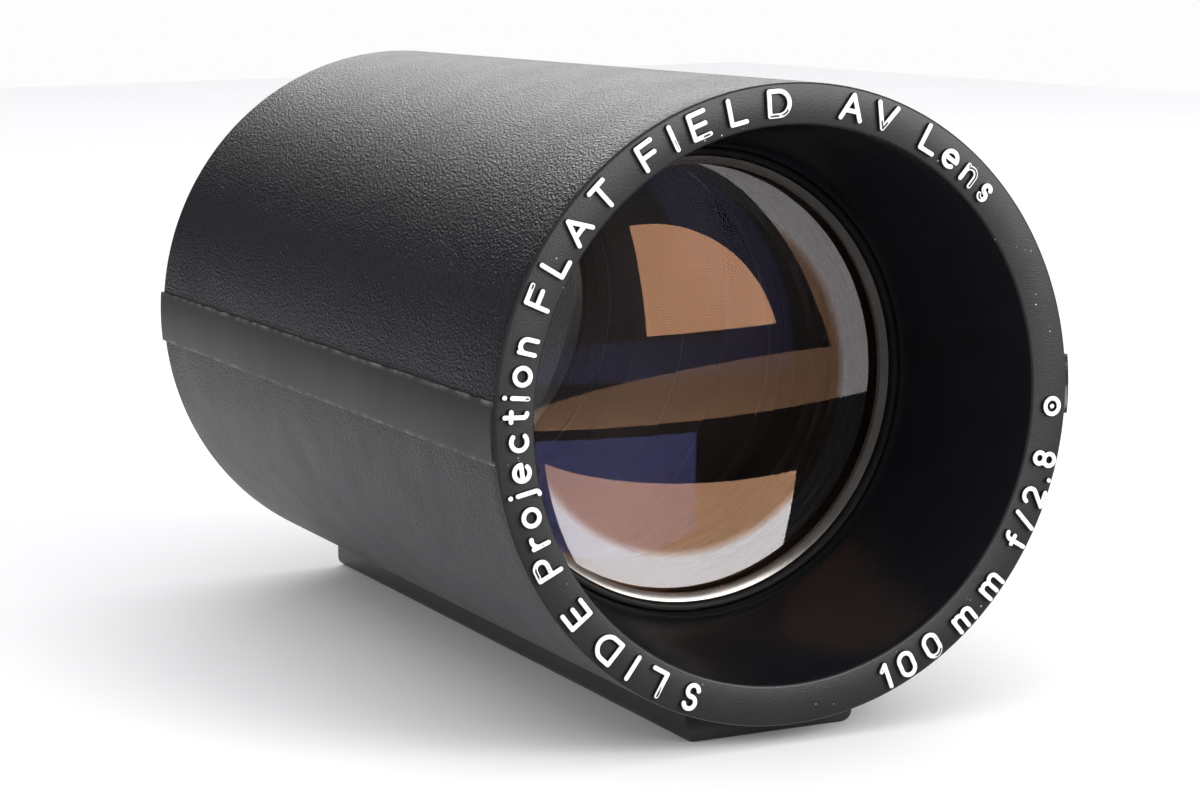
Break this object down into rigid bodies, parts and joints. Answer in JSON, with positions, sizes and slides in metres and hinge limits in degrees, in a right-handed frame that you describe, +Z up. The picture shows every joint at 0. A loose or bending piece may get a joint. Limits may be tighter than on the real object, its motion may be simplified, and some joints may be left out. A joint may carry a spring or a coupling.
{
  "type": "slide projector lens",
  "caption": "Fixed-focus projection lens for a slide projector: moulded barrel with a deep hood, raised lettering, side guide bands and a focus rack underneath.",
  "frame": {"origin": "centre of the barrel's front ring face, on the optical axis", "axes": "+Y along the optical axis from the front glass towards the slide, +Z up (the focus rail is at the bottom), +X to the right seen from the front"},
  "size_m": [0.0532, 0.0864, 0.0541],
  "materials": {
    "barrel_plastic": "black moulded plastic, fine leather-like grain outside, smooth bands and ring face, glossy inside the hood",
    "legend_paint": "white paint on the tops of raised characters, slightly worn",
    "ring_plastic": "satin black with a broad highlight",
    "coated_glass": "polished, with an amber and magenta anti-reflection coating",
    "flint_glass": "polished, with a violet anti-reflection coating",
    "cell_aluminium": "turned aluminium, blackened",
    "ring_aluminium": "turned aluminium, satin black",
    "spacer_aluminium": "turned aluminium, matt black",
    "stop_metal": "thin sheet, matt black",
    "cushion_rubber": "black rubber"
  },
  "bodies": {
    "root": {"barrel": "barrel_plastic", "legend": "legend_paint", "front_retaining_ring": "ring_plastic", "front_element": "coated_glass", "lens_cell": "cell_aluminium", "cell_lock_ring": "ring_aluminium", "negative_element": "flint_glass", "stop_spacer_front": "spacer_aluminium", "aperture_stop": "stop_metal", "stop_spacer_rear": "spacer_aluminium", "doublet_flint": "flint_glass", "doublet_crown": "coated_glass", "rear_cushion_ring": "cushion_rubber", "rear_retaining_ring": "ring_aluminium"}
  },
  "joints": []
}
